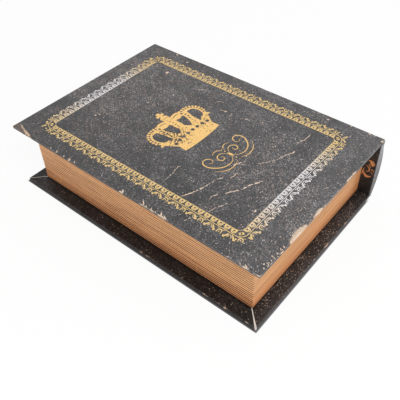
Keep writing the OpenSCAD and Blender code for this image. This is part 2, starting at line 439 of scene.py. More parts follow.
def base_marks(w, level):
    """Painted shadow beside the tray, painted shade under the lid at fore-edge and spine, and greyer at the
    tail.
    """
    # painted shade under the lid's overhang: darker towards the fore-edge and towards the spine
    w.paint(w.largest(w.step(w.y, -70, -84) * 0.25, w.step(w.y, 40, 82) * 0.45), BLACK)
    w.paint(w.step(w.x, 120, 136) * 0.18, GREY_MARGIN)
    # the seam at the near corner is rubbed bare, and wider towards its tip
    lean = abs(w.x + w.y + (cover_y - cover_x))
    width = 1.7 - (cover_x - w.x) * 0.12
    w.paint(w.step(lean, width, width * 0.5) * w.step(w.x, 121, 124), BARE_SEAM)
    # a painted contact shadow: nearly black beside the tray's walls
    away = w.largest((abs(w.x) - tray_x) * 2.0, tray_y - w.y)
    w.paint(w.step(away, 3.4, 0.6) * 0.85, (0.003, 0.003, 0.003, 1))


def spine_marks(w, level):
    """Painted shade, nearly black, on the side towards the tray, and a painted grey reflection high on the
    two ends.
    """
    # painted shade: the side towards the tray made nearly black
    w.paint(w.step(w.y, spine_inner_y + 0.5, spine_inner_y + 0.2) * 0.82, (0.002, 0.0015, 0.001, 1))
    # a painted reflection: pale bluish grey, patchy with noise, high on the two end faces
    end = w.step(abs(w.x), cover_x - 0.35, cover_x - 0.15) * w.step(w.z, 22, 66)
    w.paint(end * (w.step(w.noise(0.5, 4, 0.7), 0.4, 0.65) * 0.4 + 0.2), SPINE_END_REFLECTION)


def specks(w, share, crowded, near):
    """Some of the cells of a second mesh, more of them in crowded places, and their hue."""
    distance, own = w.cells(w.vector("ADD", w.place, (3.7, 1.9, 0.0)), SPECKS)
    chosen, hue, broad = w.split(own)
    crowd = w.step(w.noise(*CROWDING), 0.42, 0.7)
    for centre, radius, more in crowded:
        crowd += w.patch(centre, radius) * more
    few = 1.0 - share * 0.3 - (crowd + near * 1.6) * share
    dot = w.step(distance / (broad * 0.32 + 0.26), 1.0, 0.7)
    return dot * w.step(chosen, few, few + 0.05), w.step(hue, 0.35, 0.8)


def rims(w):
    """The rounded rims, whose normal is neither flat nor upright, and a band beside them, where the wrap is
    painted paler for wear and sheen.
    """
    slope = abs(w.split(w.add("ShaderNodeTexCoord", output="Normal"))[2])
    rim = w.step(slope, 0.02, 0.3) * w.step(slope, 0.995, 0.9)
    inward = w.math("MINIMUM", cover_x - abs(w.x), cover_y - abs(w.y))
    band = w.step(inward, 1.2, 0.3) * 0.45
    return w.largest(rim, band) * w.step(w.noise(0.3, 4, 0.7), 0.25, 0.6)


def wrap_finish(name, inks, marks, crowded, share, rubbed=0.1, shine=0.5, wear=(), face_z=0.0, bare=()):
    """inks: the ground, the crests of the grain, and the darkest and palest specks."""
    ground, crest, *flecks = inks
    w = Finish(name, shade(ground, 0.55))
    torn, near = edge_wear(w, wear, face_z) if wear else (0.0, 0.0)
    # the grain: each cell has a level of its own, and the bright ones are few
    distance, own = w.cells(w.place, GRAIN)
    level = w.math("POWER", w.split(own)[0], 2.7)
    creases = w.noise(*CREASES)
    w.paint(level * (w.step(w.noise(*CLOUDS), 0.35, 0.65) * 0.75 + 0.35), crest)
    dot, hue = specks(w, share, crowded, near)
    w.paint(dot * 0.9, w.tint(hue, *flecks))
    marks(w, level)
    # the rims painted paler grey, for wear and a painted sheen
    w.paint(rims(w) * rubbed, RIM_WEAR_AND_SHEEN)
    emboss = distance * 0.8 + creases
    roughness = creases * 0.25 + 0.36
    if wear:
        # down to its fibres, which run across the edge
        fibres = w.noise(1.0, 3, 0.6, w.stretched(0.5, 1.6, 0.5))
        w.paint(torn, w.tint(w.step(fibres, 0.3, 0.6), *bare))
        roughness += torn * 0.3
        emboss -= torn * (fibres + 0.4)
    return w.close(roughness, (emboss, 0.6, 0.25), {"Specular IOR Level": shine})


INK_LID = (0.056, 0.0545, 0.058, 1)
LID_CREST = (0.248, 0.234, 0.239, 1)
LID_SPECKS = (linear(156, 126, 108), linear(222, 208, 198))
LID_INKS = (INK_LID, LID_CREST, *LID_SPECKS)
BASE_INKS = (
    (0.010, 0.007, 0.006, 1), (0.091, 0.077, 0.073, 1), linear(112, 86, 70), linear(202, 182, 164),
)
SPINE_INKS = (shade(INK_LID, 0.6), shade(LID_CREST, 0.7), *LID_SPECKS)
LID_BARE = (linear(186, 156, 130), linear(214, 194, 174))
BASE_BARE = (linear(116, 90, 74), linear(188, 164, 144))
LID_CROWDS = [
    ((-78, -38), 28, 0.9), ((-80, 5), 60, 0.35), ((88, -5), 60, 0.3), ((20, 32), 26, 0.4),
    ((122, -42), 30, 0.5), ((-24, 42), 18, 0.5), ((112, -82), 28, 0.5),
]
BASE_CROWDS = [((129, -20), 80, 1.3), ((129, 40), 45, 0.8), ((129, 72), 30, 1.2)]
SPINE_CROWDS = [((side * 134, 88), 14, 1.6) for side in (1, -1)]
lid_cloth = wrap_finish(
    "Lid wrap", LID_INKS, lid_marks, LID_CROWDS, share=0.23,
    wear=(LID_TAIL_WEAR, LID_FORE_WEAR), face_z=lid_top, bare=LID_BARE,
)
base_cloth = wrap_finish(
    "Base wrap", BASE_INKS, base_marks, BASE_CROWDS, share=0.17, shine=0.25,
    wear=(BASE_TAIL_WEAR, BASE_FORE_WEAR), face_z=base_top, bare=BASE_BARE,
)
spine_cloth = wrap_finish("Spine wrap", SPINE_INKS, spine_marks, SPINE_CROWDS, share=0.16, rubbed=0.4)
dress(lid_cloth, "lid_wrap")
dress(base_cloth, "base_wrap")
dress(spine_cloth, "spine_wrap")
print("wrap finishes:", len(lid_cloth.node_tree.nodes), "nodes in the lid's")

# %% [markdown]
# The tray's walls are wood, scored and stained to look like the edges of pages. The
# grooves are in the solids. The finish adds the fine streaks, drawn out along each
# wall by stretching the noise, and a darker stain and painted shade in the grooves,
# which together are strongest on the two long walls and weaker near the lid. The walls
# across the box are painted darker, and all walls take painted shade near the spine
# and at the foot.

# %% Page-lined wood
DRAWN_OUT = {"x": (0.02, 1, 1), "y": (1, 0.02, 1)}
WOOD_HIGH = (linear(225, 162, 109), linear(255, 198, 141))
WOOD_LOW = (linear(200, 123, 70), linear(241, 162, 99))
WOOD_BROAD, WOOD_SPINE_SHADE = linear(200, 136, 86), linear(172, 98, 44)
# colours of the grooves' stain and painted shade, and of the painted shade at the foot
GROOVE_STAIN_AND_SHADE, FOOT_SHADE = linear(80, 42, 22), linear(70, 34, 16)


def page_lines(w, width, even):
    """1 in the grooves. Each has its own strength, which changes slowly along it."""
    height = (w.z - base_top) / PAGE_PITCH
    line = w.math("ROUND", height)
    groove = w.step(abs(height - line), width, width * 0.4)
    slow = w.vector("ADD", w.stretched(0.012, 0.012, 0), w.add("ShaderNodeCombineXYZ", {2: line * 7.3}))
    return groove * (w.step(w.noise(1.0, 2, 0.6, slow), 0.38, 0.62) * (1.0 - even) + even)


def page_finish(name, along, painted_brightness, streaky, lines, groove_stain_and_shade):
    """lines: how wide and how even the grooves' darkening is, stain and painted shade in one;
    the next argument: its strength at the foot, half-way up and under the lid. The
    brightness factor is painted shade, which darkens the walls across the box."""
    w = Finish(name, BLACK)
    drawn = w.stretched(*DRAWN_OUT[along])
    streaks = w.noise(1.9, 4, 0.65, drawn)
    streak = w.step(streaks, 0.3, 0.7) * streaky + (0.5 - streaky / 2)
    # lighter under the lid, and a deeper orange towards the foot
    for share, pair in ((1.0, WOOD_LOW), (w.step(w.z, -4, 30), WOOD_HIGH)):
        w.paint(share, w.tint(streak, *(shade(colour, painted_brightness) for colour in pair)))
    w.paint(w.step(w.noise(0.16, 3, 0.6, drawn), 0.35, 0.7) * (0.3 * streaky), WOOD_BROAD)
    # stain and painted shade in the grooves, strongest at the foot of the long walls
    foot, middle, top = groove_stain_and_shade
    strength = w.step(w.z, 20, 8) * (foot - middle) + w.step(w.z, 20, 40) * (top - middle) + middle
    if along == "x":
        strength *= w.step(w.x, -140, -60) * 0.3 + 0.7
    w.paint(page_lines(w, *lines) * strength, GROOVE_STAIN_AND_SHADE)
    # painted shade: darker again where the tail wall runs in beside the spine, and at the foot
    w.paint(w.step(w.y, 66, 86) * 0.5, shade(WOOD_SPINE_SHADE, painted_brightness))
    w.paint(w.step(w.z, 9, 3.5) * (w.step(w.y, 10, 80) * 0.42 + 0.16), FOOT_SHADE)
    return w.close(0.62, (streaks, 0.4 * streaky, 0.12))


long_wood = page_finish(
    "Page wood along the box", "x", painted_brightness=1.0, streaky=1.0, lines=(0.34, 0.5), groove_stain_and_shade=(1.6, 1.0, 0.72)
)
# the walls across the box: the same wood, made darker by painted shade
short_wood = page_finish(
    "Page wood across the box", "y", painted_brightness=0.825, streaky=0.55, lines=(0.36, 0.45), groove_stain_and_shade=(0.73, 0.73, 0.62)
)
dress(long_wood, "fore_edge_wall", "spine_side_wall", "tray_floor")
dress(short_wood, "head_wall", "tail_wall")
print("walls dressed")

# %% [markdown]
# The board shows only as a pale line in the mitred seams. The linings are dark
# speckled paper, and the magnets are nickel-plated steel discs with fine turning
# marks, which are rings of noise about each disc's own axis.


# %% Board, lining paper and steel
def board_finish():
    w = Finish("Raw board", linear(226, 219, 206))
    fibres = w.noise(2.5, 4, 0.7)
    w.paint(fibres, linear(250, 247, 240))
    return w.close(0.85, (fibres, 0.4, 0.1))


def paper_finish():
    w = Finish("Lining paper", linear(44, 36, 33))
    fibres = w.noise(1.8, 5, 0.7)
    w.paint(w.step(fibres, 0.35, 0.7), linear(70, 59, 53))
    w.paint(w.step(w.noise(0.03, 4, 0.6), 0.4, 0.7) * 0.5, linear(58, 44, 38))
    return w.close(0.8, (fibres, 0.35, 0.1))


def steel_finish(name, centre):
    w = Finish(name, linear(168, 168, 170))
    x, y = w.x - centre.x, w.y - centre.y
    turned = {"W": w.math("SQRT", x * x + y * y), "Scale": 9.0, "Detail": 3.0}
    rings = w.add("ShaderNodeTexNoise", turned, "Fac", noise_dimensions="1D")
    w.paint(rings, linear(208, 208, 210))
    return w.close(rings * 0.2 + 0.22, others={"Metallic": 1.0})


dress(board_finish(), "base_board", "lid_board", "spine_core")
WALL_LININGS = [f"{wall}_lining" for wall in ("fore_edge", "spine_side", "head", "tail")]
dress(paper_finish(), "lid_lining", "ledge_strip", *WALL_LININGS)
for end in ("head", "tail"):
    low, high = box_of(f"tray_magnet_{end}")
    steel = steel_finish(f"Plated steel {end}", (low + high) / 2)
    dress(steel, f"tray_magnet_{end}", f"lid_magnet_{end}")
print("board, paper and steel dressed")

# %% [markdown]
# The gold print is modelled as foil: flat pieces that stand 0.02 to 0.06 mm proud and
# reach just below the wrap's surface. A stroke of the pen becomes a ribbon whose width
# changes along its path, and a solid figure is an outline with its openings cut out.
# All is drawn flat in millimetres, and then laid on the lid or bent round the spine.

# %% Ribbons, discs and plates of foil
FOOT = -0.01
SAME_PLACE = 1e-7


def circle(u, v, radius, sides, squash=1.0):
    turns = [math.tau * i / sides for i in range(sides)]
    return [(u + radius * math.cos(a), v + squash * radius * math.sin(a)) for a in turns]


def curve_object(name, runs, scale=1.0, level=0.0, filled=False):
    """Runs of points as splines. Filled ones are closed, and the first holds the others."""
    curve = bpy.data.curves.new(name, "CURVE")
    curve.dimensions = "2D" if filled else "3D"
    for run in runs:
        spline = curve.splines.new("POLY")
        spline.points.add(len(run) - 1)
        for point, (x, y) in zip(spline.points, run):
            point.co = (x * scale, y * scale, level * scale, 1)
        spline.use_cyclic_u = filled
    return new_object(name, curve)


def mesh_of(helper):
    """The mesh that a helper object comes to. The helper itself is removed."""
    graph = bpy.context.evaluated_depsgraph_get()
    mesh = bpy.data.meshes.new_from_object(helper.evaluated_get(graph))
    bpy.data.objects.remove(helper)
    return mesh


def swept(count, around, closed=False):
    """Faces of a tube with count sections. Its ends are closed across the section."""
    faces = []
    for k in range(count if closed else count - 1):
        p, q = k * around, (k + 1) % count * around
        faces += [(p + r, p + (r + 1) % around, q + (r + 1) % around, q + r) for r in range(around)]
    for p in () if closed else (0, (count - 1) * around):
        faces += [(p + r, p + r + 1, p + around - 2 - r, p + around - 1 - r) for r in range(around // 2 - 1)]
    return faces


def closed_mesh(name, points, faces, finish=None):
    """A mesh in metres from points in millimetres, with its faces turned outwards."""
    mesh = bpy.data.meshes.new(name)
    mesh.from_pydata([Vector(p) * MM for p in points], [], faces)
    work = bmesh.new()
    work.from_mesh(mesh)
    bmesh.ops.remove_doubles(work, verts=work.verts, dist=SAME_PLACE)
    bmesh.ops.recalc_face_normals(work, faces=work.faces)
    work.to_mesh(mesh)
    work.free()
    if finish:
        mesh.materials.append(finish)
    return mesh


class Foil:
    """Closed flat islands. Each is drawn along and across, up to a level of its own."""

    def __init__(self):
        self.points, self.faces = [], []

    def island(self, points, faces):
        start = len(self.points)
        self.points += points
        self.faces += [tuple(start + i for i in face) for face in faces]

    def ribbon(self, path, widths, high=0.04, closed=False):
        """A strip with one width, or with a width for each point of its path."""
        points, count = [], len(path)
        if not hasattr(widths, "__len__"):
            widths = [widths] * count
        for i, ((x, y), width) in enumerate(zip(path, widths)):
            before = path[i - 1] if i or closed else path[0]
            after = path[(i + 1) % count] if i + 1 < count or closed else path[-1]
            along = Vector((after[0] - before[0], after[1] - before[1])).normalized() * width / 2
            left, right = (x - along.y, y + along.x), (x + along.y, y - along.x)
            points += [(*left, FOOT), (*left, high), (*right, high), (*right, FOOT)]
        self.island(points, swept(count, 4, closed))

    def disc(self, x, y, radius, high, sides=10):
        rim = circle(x, y, radius, sides)
        self.island([(*p, level) for level in (FOOT, high) for p in rim], swept(2, sides))

    def plate(self, loops, high):
        """The first loop filled, with the others cut out of it. A flat curve fills itself."""
        outline = curve_object("outline", loops, filled=True)
        outline.data.fill_mode = "BOTH"
        outline.data.extrude = (high - FOOT) / 2
        mesh, middle = mesh_of(outline), Vector((0, 0, (high + FOOT) / 2))
        self.island([tuple(v.co + middle) for v in mesh.vertices], [p.vertices for p in mesh.polygons])
        bpy.data.meshes.remove(mesh)

    def mesh(self, name, lay=lambda u, v, h: (u, v, h), finish=None):
        """The islands as a mesh, laid by a function of (along, across, level)."""
        return closed_mesh(name, [lay(*p) for p in self.points], self.faces, finish)


def on_lid(u, v, h):
    return (u, v, h + lid_top)


def upright(x, y):
    """Lays what is drawn upright for a reader at the tail, so up is towards the head."""
    return lambda u, v, h: (x - v, y + u, h + lid_top)


def place_piece(name, mesh, body):
    piece = new_object(name, mesh)
    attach(piece, body)
    print(f"{name}: {len(mesh.polygons)} faces")
    return piece


def smooth_path(points, steps):
    """A curve through the points, as an open list of places."""
    found = []
    for i in range(len(points) - 1):
        a, b, c, d = (Vector(points[max(0, min(len(points) - 1, i + k))]) for k in (-1, 0, 1, 2))
        for s in range(steps):
            t = s / steps
            bend = (2 * a - 5 * b + 4 * c - d) * t**2 + (3 * b - a - 3 * c + d) * t**3
            found.append(tuple(b + 0.5 * ((c - a) * t + bend)))
    return found + [tuple(points[-1])]


def swelling(count, tip, belly, at):
    """Widths of a pen stroke that swells from its tips to a belly."""
    widths = []
    for i in range(count):
        t = i / (count - 1)
        t = t / at if t < at else (1 - t) / (1 - at)
        widths.append(tip + (belly - tip) * math.sin(t * math.pi / 2) ** 1.5)
    return widths


def strokes(foil, steps, *drawn, sides=(1, -1)):
    """Pen strokes, mirrored: each is its points, tip, belly, place of the belly, and level."""
    for points, tip, belly, at, high in drawn:
        path = smooth_path(points, steps)
        widths = swelling(len(path), tip, belly, at)
        for side in sides:
            foil.ribbon([(side * u, v) for u, v in path], widths, high)


print("foil helpers ready")

# %% [markdown]
# Foil on an embossed cloth misses some of the creases, so the dark ground shows
# through in small gaps. The border on the photographed lid fades from gold to silver
# in the middle of its two short sides.

# %% Foil finishes
GOLD = linear(249, 204, 128)
PALE_GOLD = linear(238, 204, 139)
SILVER = linear(226, 222, 223)
COPPER = linear(222, 156, 104)
SILVER_MIDDLE_X, SILVER_MIDDLE_Y = -3, -5
SILVER_FULL, SILVER_NONE = 18, 64


def foil_finish(name, colour, missed, grain=1.5, silver=False, rubbed=()):
    w = Finish(name, shade(colour, 0.85))
    w.paint(w.step(w.noise(0.5, 4, 0.7), 0.35, 0.65), shade(colour, 1.03))
    if silver:
        fade, off = SILVER_NONE - SILVER_FULL, abs(w.y - SILVER_MIDDLE_Y)
        middle = w.math("MULTIPLY_ADD", off, -1 / fade, SILVER_NONE / fade, use_clamp=True)
        w.paint(middle * w.step(abs(w.x - SILVER_MIDDLE_X), 101, 104), SILVER)
    gaps = w.noise(grain, 2, 0.6)
    for centre, radius, more in rubbed:
        gaps -= w.patch(centre, radius) * more
    w.paint(w.step(gaps, missed + 0.05, missed - 0.03), shade(INK_LID, 0.4))
    creases = w.noise(*CREASES)
    return w.close(creases * 0.25 + 0.3, (creases, 0.35, 0.15), {"Metallic": 0.35})


CORONET_RUBS = [((-11.5, -14), 19, 0.145), ((-26, -27), 14, 0.05), ((-5, 18), 17, 0.075)]
border_foil = foil_finish("Border foil", PALE_GOLD, missed=0.37, silver=True)
coronet_foil = foil_finish("Coronet foil", GOLD, missed=0.33, grain=0.7, rubbed=CORONET_RUBS)
spine_foil = foil_finish("Spine foil", COPPER, missed=0.36)
print("three foils mixed")

# %% [markdown]
# The border is four things from the inside out: a thin rule, a row of hanging shells,
# a heavier rule, and a lace of leaf pairs and small arches. A Geometry Nodes tree
# divides each side by the wanted pitch, rounds that, and sets the motifs on the
# resampled path, turned to follow it. Each side runs from the middle of one corner to
# the middle of the next, and holds an odd number of lace motifs, so that the corners
# take turns as well. No shell hangs in a corner: two beads fill it there, and two more
# fill the lace, whose leaves are smaller where they turn the corner.

# %% The border's paths and rules
BORDER_LOW, BORDER_HIGH = Vector((-107.5, -68.7)), Vector((101.6, 67.8))
CORNER_STEPS = 6
# how far out, the corners' radius, the rule's width and its level
RULES = [(0, 5, 0.4, 0.055), (5.1, 7, 0.6, 0.045)]
# how far out, the path's radius, the point of it that a bead sits on, and the bead's radius
CORNER_BEADS = [(2.7, 6, 1, 1.35), (8.0, 9.9, 4, 0.8)]


def border_sides(out, radius):
    """Four clockwise runs round the border, out millimetres outside its inner rule."""
    inset = Vector((radius - out, radius - out))
    low, high = BORDER_LOW + inset, BORDER_HIGH - inset
    centres = [(high.x, high.y), (high.x, low.y), (low.x, low.y), (low.x, high.y)]
    sides = []
    for k in range(4):
        run = []
        for (x, y), start in ((centres[k], 45 - 90 * k), (centres[(k + 1) % 4], -90 * k)):
            for i in range(CORNER_STEPS + 1):
                a = math.radians(start - 45 * i / CORNER_STEPS)
                run.append((x + radius * math.cos(a), y + radius * math.sin(a)))
        sides.append(run)
    return sides


def rules():
    foil = Foil()
    for out, radius, width, high in RULES:
        around = [p for side in border_sides(out, radius) for p in side[:-1]]
        foil.ribbon(around, width, high, closed=True)
    for out, radius, step, bead_size in CORNER_BEADS:
        for side in border_sides(out, radius):
            for x, y in (side[step], side[-1 - step]):
                foil.disc(x, y, bead_size, high=0.05)
    return foil.mesh("border_rules", on_lid, border_foil)


place_piece("border_rules", rules(), "lid")

# %% A tree that sets motifs in a row along a path
ROW_INPUTS = {
    "Geometry": "Geometry", "Path": "Object", "Motif": "Object", "Second motif": "Object",
    "Pitch": "Float", "Left out": "Int", "At corners": "Float", "Finish": "Material",
}


def spaced_points(w, path, pitch):
    """Points on the path at about the pitch, and how each is turned to follow it."""
    curve = w.add("GeometryNodeObjectInfo", {"Object": path}, "Geometry")
    count = w.math("ROUND", w.add("GeometryNodeSplineLength", output="Length") / pitch) + 1.0
    points = w.add("GeometryNodeResampleCurve", {"Curve": curve, "Count": count}, "Curve")
    tangent = {"Vector": w.add("GeometryNodeInputTangent")}
    return points, w.add("FunctionNodeAlignRotationToVector", tangent, axis="X", pivot_axis="Z")


def numbered(w, motif, second):
    """Both motifs as instances 0 and 1. The last one joined is number 0."""
    motifs = w.node("GeometryNodeJoinGeometry")
    for item in (second, motif):
        shape = w.add("GeometryNodeObjectInfo", {"Object": item, "As Instance": True}, "Geometry")
        w.join(motifs, {0: shape})
    return Value(w, motifs.outputs[0])


def row_tree():
    tree = bpy.data.node_groups.new("Row of motifs", "GeometryNodeTree")
    for name, kind in ROW_INPUTS.items():
        tree.interface.new_socket(name, in_out="INPUT", socket_type=f"NodeSocket{kind}")
    tree.interface.new_socket("Geometry", in_out="OUTPUT", socket_type="NodeSocketGeometry")
    w = Wiring(tree)
    given = w.add("NodeGroupInput", output=tuple(ROW_INPUTS)[1:])
    path, motif, second, pitch, left_out, at_corners, finish = given
    points, turned = spaced_points(w, path, pitch)
    last = w.add("GeometryNodeCurveEndpointSelection", {"Start Size": left_out, "End Size": 1})
    first = w.add("GeometryNodeCurveEndpointSelection", {"Start Size": 1, "End Size": 0})
    # the two motifs take turns, also from the last one of a side to the next side's first
    side, place = w.add("GeometryNodeCurveOfPoint", output=("Curve Index", "Index in Curve"))
    odd = w.math("MODULO", side + place + 1.0, 2.0)
    row = {
        "Points": points, "Selection": w.add("FunctionNodeBooleanMath", {0: last}, operation="NOT"),
        "Instance": numbered(w, motif, second), "Pick Instance": True, "Instance Index": odd,
        "Rotation": turned, "Scale": first * odd * (at_corners - 1.0) + 1.0,
    }
    whole = w.add("GeometryNodeRealizeInstances", {0: w.add("GeometryNodeInstanceOnPoints", row)})
    painted = w.add("GeometryNodeSetMaterial", {"Geometry": whole, "Material": finish})
    w.node("NodeGroupOutput", {0: painted})
    return tree


ROW = row_tree()


def set_row(name, runs, motifs, pitch, finish, left_out=0, at_corners=1.0):
    """Two motifs in turn along each run on the lid, as one piece."""
    helpers = [curve_object(name + "_path", runs, MM, lid_top)]
    helpers += [new_object(name + "_motif", motif.mesh(name + "_motif")) for motif in motifs]
    host = new_object(name, bpy.data.meshes.new(name + "_start"))
    modifier = host.modifiers.new("Row", "NODES")
    modifier.node_group = ROW
    values = dict(zip(("Path", "Motif", "Second motif"), helpers))
    values |= {"Pitch": pitch * MM, "Left out": left_out, "At corners": at_corners, "Finish": finish}
    for item in ROW.interface.items_tree:
        if item.in_out == "INPUT" and item.name in values:
            modifier[item.identifier] = values[item.name]
    mesh = mesh_of(host)
    for helper in helpers:
        bpy.data.objects.remove(helper)
    place_piece(name, mesh, "lid")


print("a tree of", len(ROW.nodes), "nodes")

# %% [markdown]
# A shell is a small cup that hangs from the thin rule, with a dark eye and a dark fold
# in it. It is drawn with the rule's side at the bottom, since outwards is up on this
# path.

# %% Shells
SHELL_PITCH, LACE_PITCH = 6.15, 8.55


def shell():
    foil = Foil()
    bowl = circle(0, -0.15, 2.35, 18, 2.0 / 2.35)[:10]
    cup = [(-2.8, -2.2), (2.8, -2.2), (2.45, -1.2), *bowl, (-2.45, -1.2)]
    eye = circle(0, -0.9, 0.95, 8, 0.7 / 0.95)
    fold = [(-1.7, 0.0), (0, 0.8), (1.7, 0.0), (1.5, 0.35), (0, 1.2), (-1.5, 0.35)]
    foil.plate([cup, eye, fold], high=0.04)
    return foil


shell_path = border_sides(out=2.5, radius=6)
set_row("border_shells", shell_path, [shell(), shell()], SHELL_PITCH, border_foil, left_out=1)

# %% [markdown]
# The lace is a pair of leaves that lean together at the rule and spread outwards, and
# then a small arch. Each leaf is one swelling stroke with a hook at its tip.


# %% Lace
def leaf_pair():
    foil = Foil()
    strokes(foil, 3, ([(0.9, 0.7), (1.9, 1.5), (3.1, 2.9), (4.1, 4.9)], 0.4, 1.5, 0.6, 0.046))
    hook = [(4.1, 4.7), (4.9, 4.5), (5.1, 3.7), (4.6, 3.2)]
    bud = [(0.5, 2.2), (1.4, 3.0), (1.7, 4.3)]
    strokes(foil, 2, (hook, 0.5, 0.75, 0.3, 0.038), (bud, 0.3, 0.7, 0.5, 0.034))
    foil.disc(0, 1.3, 0.55, high=0.042, sides=8)
    for side in (1, -1):
        foil.disc(side * 4.1, 4.5, 0.9, high=0.05, sides=8)
    return foil


def arch():
    foil = Foil()
    bow = [(-1.75, 4.9), (-1.8, 3.1), (-1.2, 1.7), (0, 1.2), (1.2, 1.7), (1.8, 3.1), (1.75, 4.9)]
    strokes(foil, 3, (bow, 0.7, 1.0, 0.5, 0.044), sides=(1,))
    strokes(foil, 2, ([(0, 2.6), (0.1, 3.4), (0, 4.2)], 0.4, 0.7, 0.5, 0.036), sides=(1,))
    strokes(foil, 2, ([(1.2, 0.6), (2.2, 0.9), (3.2, 0.6)], 0.3, 0.6, 0.5, 0.032))
    return foil


lace_path = border_sides(out=5.6, radius=7.5)
set_row("border_lace", lace_path, [arch(), leaf_pair()], LACE_PITCH, border_foil, at_corners=0.8)

# %% [markdown]
# The coronet is a common heraldic figure: a band, a row of eyes above it, four windows
# between arches edged with beads, and an orb and cross on top. One half of each
# outline is written down and mirrored.

# %% Coronet
lay_coronet = upright(0.0, -0.85)
CORONET_SIDE = [
    (0, 31.9), (4.6, 32.1), (8.2, 33.0), (11.6, 33.0), (14.0, 31.8), (15.6, 31.0), (18.8, 31.3),
    (22.8, 31.2), (27.2, 29.7), (30.8, 26.2), (32.4, 21.6), (32.3, 17.0), (31.2, 13.0), (30.2, 11.2),
    (32.4, 9.3), (31.7, 7.9), (28.5, 8.1), (27.5, 5.8), (25.5, 3.0), (22.9, -0.4), (21.9, -3.2),
    (22.3, -5.4), (22.6, -9.9), (17.0, -10.8), (9.0, -11.3), (0, -11.5),
]
OUTER_WINDOW = [
    (20.2, 25.7), (23.2, 26.2), (26.0, 25.4), (28.0, 22.9), (28.7, 19.2), (28.1, 15.0), (26.6, 12.3),
    (24.3, 10.4), (21.8, 10.6), (20.2, 8.2), (18.6, 7.8), (17.6, 10.4), (18.3, 13.2), (18.0, 16.5),
    (19.3, 21.0),
]
INNER_WINDOW = [
    (4.1, 24.8), (6.8, 24.2), (9.6, 24.0), (13.4, 25.0), (13.3, 21.4), (12.2, 17.6), (10.9, 14.0),
    (8.2, 9.4), (6.9, 9.5), (4.3, 12.6), (3.2, 14.8), (4.2, 18.0),
]
SHOULDER_SLIT = [(4.6, 29.3), (9.0, 30.7), (12.0, 30.2), (11.8, 29.4), (9.0, 29.9), (4.6, 28.6)]
ORB_SLIT = [(-3.7, 34.4), (0, 33.9), (3.7, 34.4), (3.7, 34.9), (0, 34.4), (-3.7, 34.9)]
CROSS_SIDE = [
    (1.2, 38.2), (1.5, 39.6), (3.5, 38.9), (4.3, 40.6), (3.5, 42.4), (1.6, 41.7), (2.1, 43.6), (1.2, 44.9),
]
EYES = [3.1, 9.0, 15.4, 20.9]
PILLAR_DOTS = [(14.6, 27.6, 1.1), (16.0, 24.2, 0.9), (16.4, 20.8, 0.95), (15.0, 18.0, 0.95)]
MIDDLE_DOTS = [
    (-0.4, 28.2, 0.8), (-0.2, 24.4, 0.8), (-0.3, 21.2, 0.75), (-0.6, 18.2, 0.75),
    (-13.4, -5.4, 0.95), (-11.6, -6.0, 0.7), (-8.6, -4.8, 0.6), (11.0, -9.0, 0.75), (10.4, -2.0, 0.5),
]
ARCH_EDGE = [
    (15.4, 31.0), (18.6, 31.3), (22.8, 31.2), (27.2, 29.7), (30.8, 26.2), (32.4, 21.6), (32.3, 16.8),
    (31.2, 12.4),
]
BEAD_PITCH, BEAD_DOT_IN = 3.05, 1.4


def mirrored(points, side=-1):
    return [(side * u, v) for u, v in points]


def rounded_loop(points, steps=2):
    return smooth_path(points[-1:] + points + points[:2], steps)[steps:-steps]


def between_beads():
    """Places of the dark dots, between each two beads and a little inside their row."""
    path = [Vector(p) for p in smooth_path(ARCH_EDGE, 6)]
    lengths = [(b - a).length for a, b in zip(path, path[1:])]
    beads = round(sum(lengths) / BEAD_PITCH)
    places, walked = [], 0.0
    for a, b, length in zip(path, path[1:], lengths):
        along = (b - a) / length
        for k in range(beads):
            rest = (k + 0.5) * sum(lengths) / beads - walked
            if 0 <= rest < length:
                places.append(a + along * rest + Vector((along.y, -along.x)) * BEAD_DOT_IN)
        walked += length
    return places


def openings(side):
    """The windows, eyes, dots and slit in one half of the coronet."""
    holes = [rounded_loop(mirrored(window, side)) for window in (OUTER_WINDOW, INNER_WINDOW)]
    holes += [circle(side * u, 4.3 - 2.1 * (u / 21.5) ** 2, 1.9, 8) for u in EYES]
    holes += [circle(side * u, v, 1.0, 8) for u, v in between_beads()]
    holes += [circle(side * u, v, radius, 6, 1.3) for u, v, radius in PILLAR_DOTS]
    return holes + [mirrored(SHOULDER_SLIT, side)]


def coronet():
    foil = Foil()
    outline = CORONET_SIDE + mirrored(CORONET_SIDE[-2:0:-1])
    dots = [circle(u, v, radius, 6) for u, v, radius in MIDDLE_DOTS]
    foil.plate([outline, *openings(1), *openings(-1), *dots], high=0.04)
    # orb with a dark equator, and the cross
    foil.plate([circle(0, 34.9, 4.3, 20, 0.92), ORB_SLIT], high=0.05)
    foil.plate([smooth_path(CROSS_SIDE + mirrored(CROSS_SIDE[::-1]), 2)], high=0.045)
    return foil.mesh("coronet", lay_coronet, coronet_foil)


def bead():
    foil = Foil()
    foil.disc(0, 0, 1.15, high=0.05, sides=8)
    return foil


def bead_run(side):
    return [lay_coronet(u, v, 0)[:2] for u, v in smooth_path(mirrored(ARCH_EDGE, side), 6)]


place_piece("coronet", coronet(), "lid")
set_row("coronet_beads", [bead_run(1), bead_run(-1)], [bead(), bead()], BEAD_PITCH, coronet_foil)

# %% [markdown]
# Below the coronet the lid carries a pen flourish of the kind that fills a title page:
# two mirrored swashes that end in spirals, smaller curls inside them, and a lozenge.
# The strokes swell in their middles, as a broad pen writes them.

